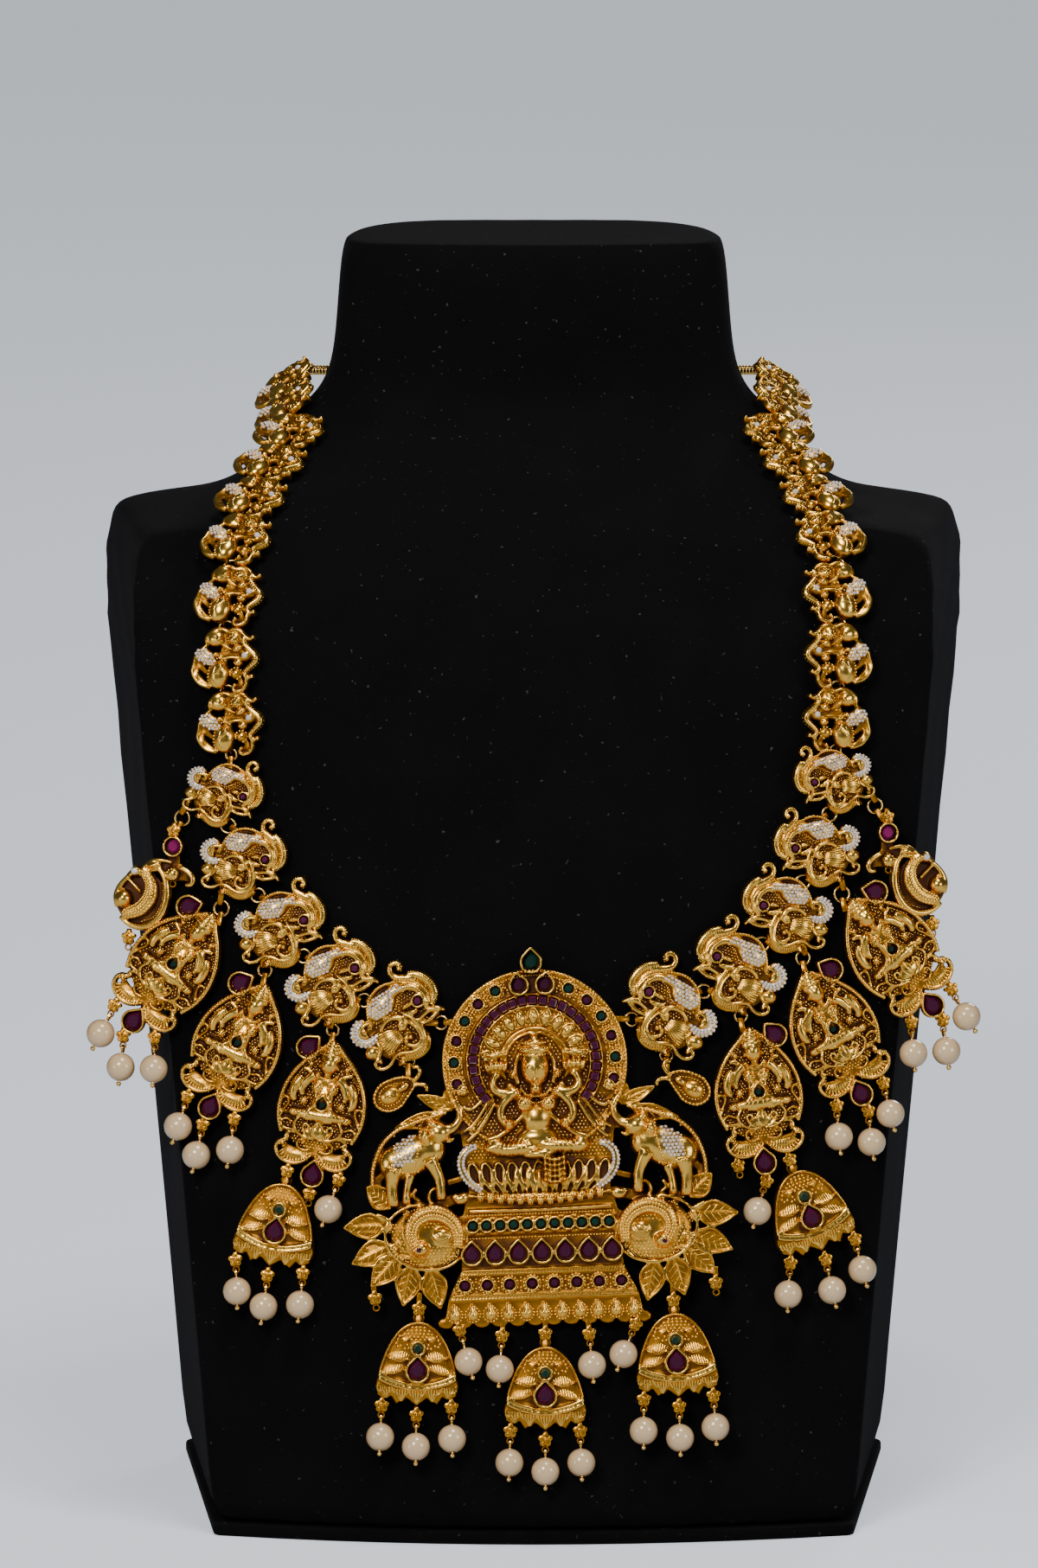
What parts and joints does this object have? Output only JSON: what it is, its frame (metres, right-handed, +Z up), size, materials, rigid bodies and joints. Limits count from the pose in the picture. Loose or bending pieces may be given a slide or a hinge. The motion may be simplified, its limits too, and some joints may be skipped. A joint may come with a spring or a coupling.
{
  "type": "temple jewellery necklace on a neck bust",
  "caption": "Gold temple necklace with peacock links, seated figure pendants, bells and pearl drops on a black velvet neck bust.",
  "frame": {"origin": "middle of the underside of the bust, centre of the bounding box", "axes": "+Z up, the front of the bust towards -Y, +X to the right of a viewer in front"},
  "size_m": [0.2203, 0.1716, 0.3011],
  "materials": {
    "gold": "antique cast gold, dark in the recesses",
    "pearl": "soft cream lustre",
    "ruby": "dark polished red stone in closed settings",
    "emerald": "dark polished green stone in closed settings",
    "velvet": "black velvet over a shaped board"
  },
  "bodies": {
    "root": {"bust_body": "velvet", "bust_base": "velvet", "back_chain_left": "gold", "back_chain_right": "gold", "chain_left": "gold", "chain_right": "gold", "chain_rings_left": "gold", "chain_rings_right": "gold", "joint_rings_left": "gold", "joint_rings_right": "gold", "peacock_left_1": "gold", "peacock_left_2": "gold", "peacock_left_3": "gold", "peacock_left_4": "gold", "peacock_left_5": "gold", "peacock_right_1": "gold", "peacock_right_2": "gold", "peacock_right_3": "gold", "peacock_right_4": "gold", "peacock_right_5": "gold", "figure_left_1": "gold", "figure_left_2": "gold", "figure_left_3": "gold", "figure_right_1": "gold", "figure_right_2": "gold", "figure_right_3": "gold", "side_peacock_left": "gold", "side_peacock_right": "gold", "paisley_left": "gold", "paisley_right": "gold", "main_pendant": "gold", "bell_left": "gold", "bell_lower_left": "gold", "bell_centre": "gold", "bell_lower_right": "gold", "bell_right": "gold", "pearls_left": "pearl", "pearls_centre": "pearl", "pearls_right": "pearl", "head_pins_left": "gold", "head_pins_centre": "gold", "head_pins_right": "gold", "main_rubies": "ruby", "main_emeralds": "emerald", "peacock_eyes": "ruby", "figure_rubies": "ruby", "figure_emeralds": "emerald", "bell_rubies": "ruby", "bell_emeralds": "emerald", "connector_rubies": "ruby"}
  },
  "joints": []
}
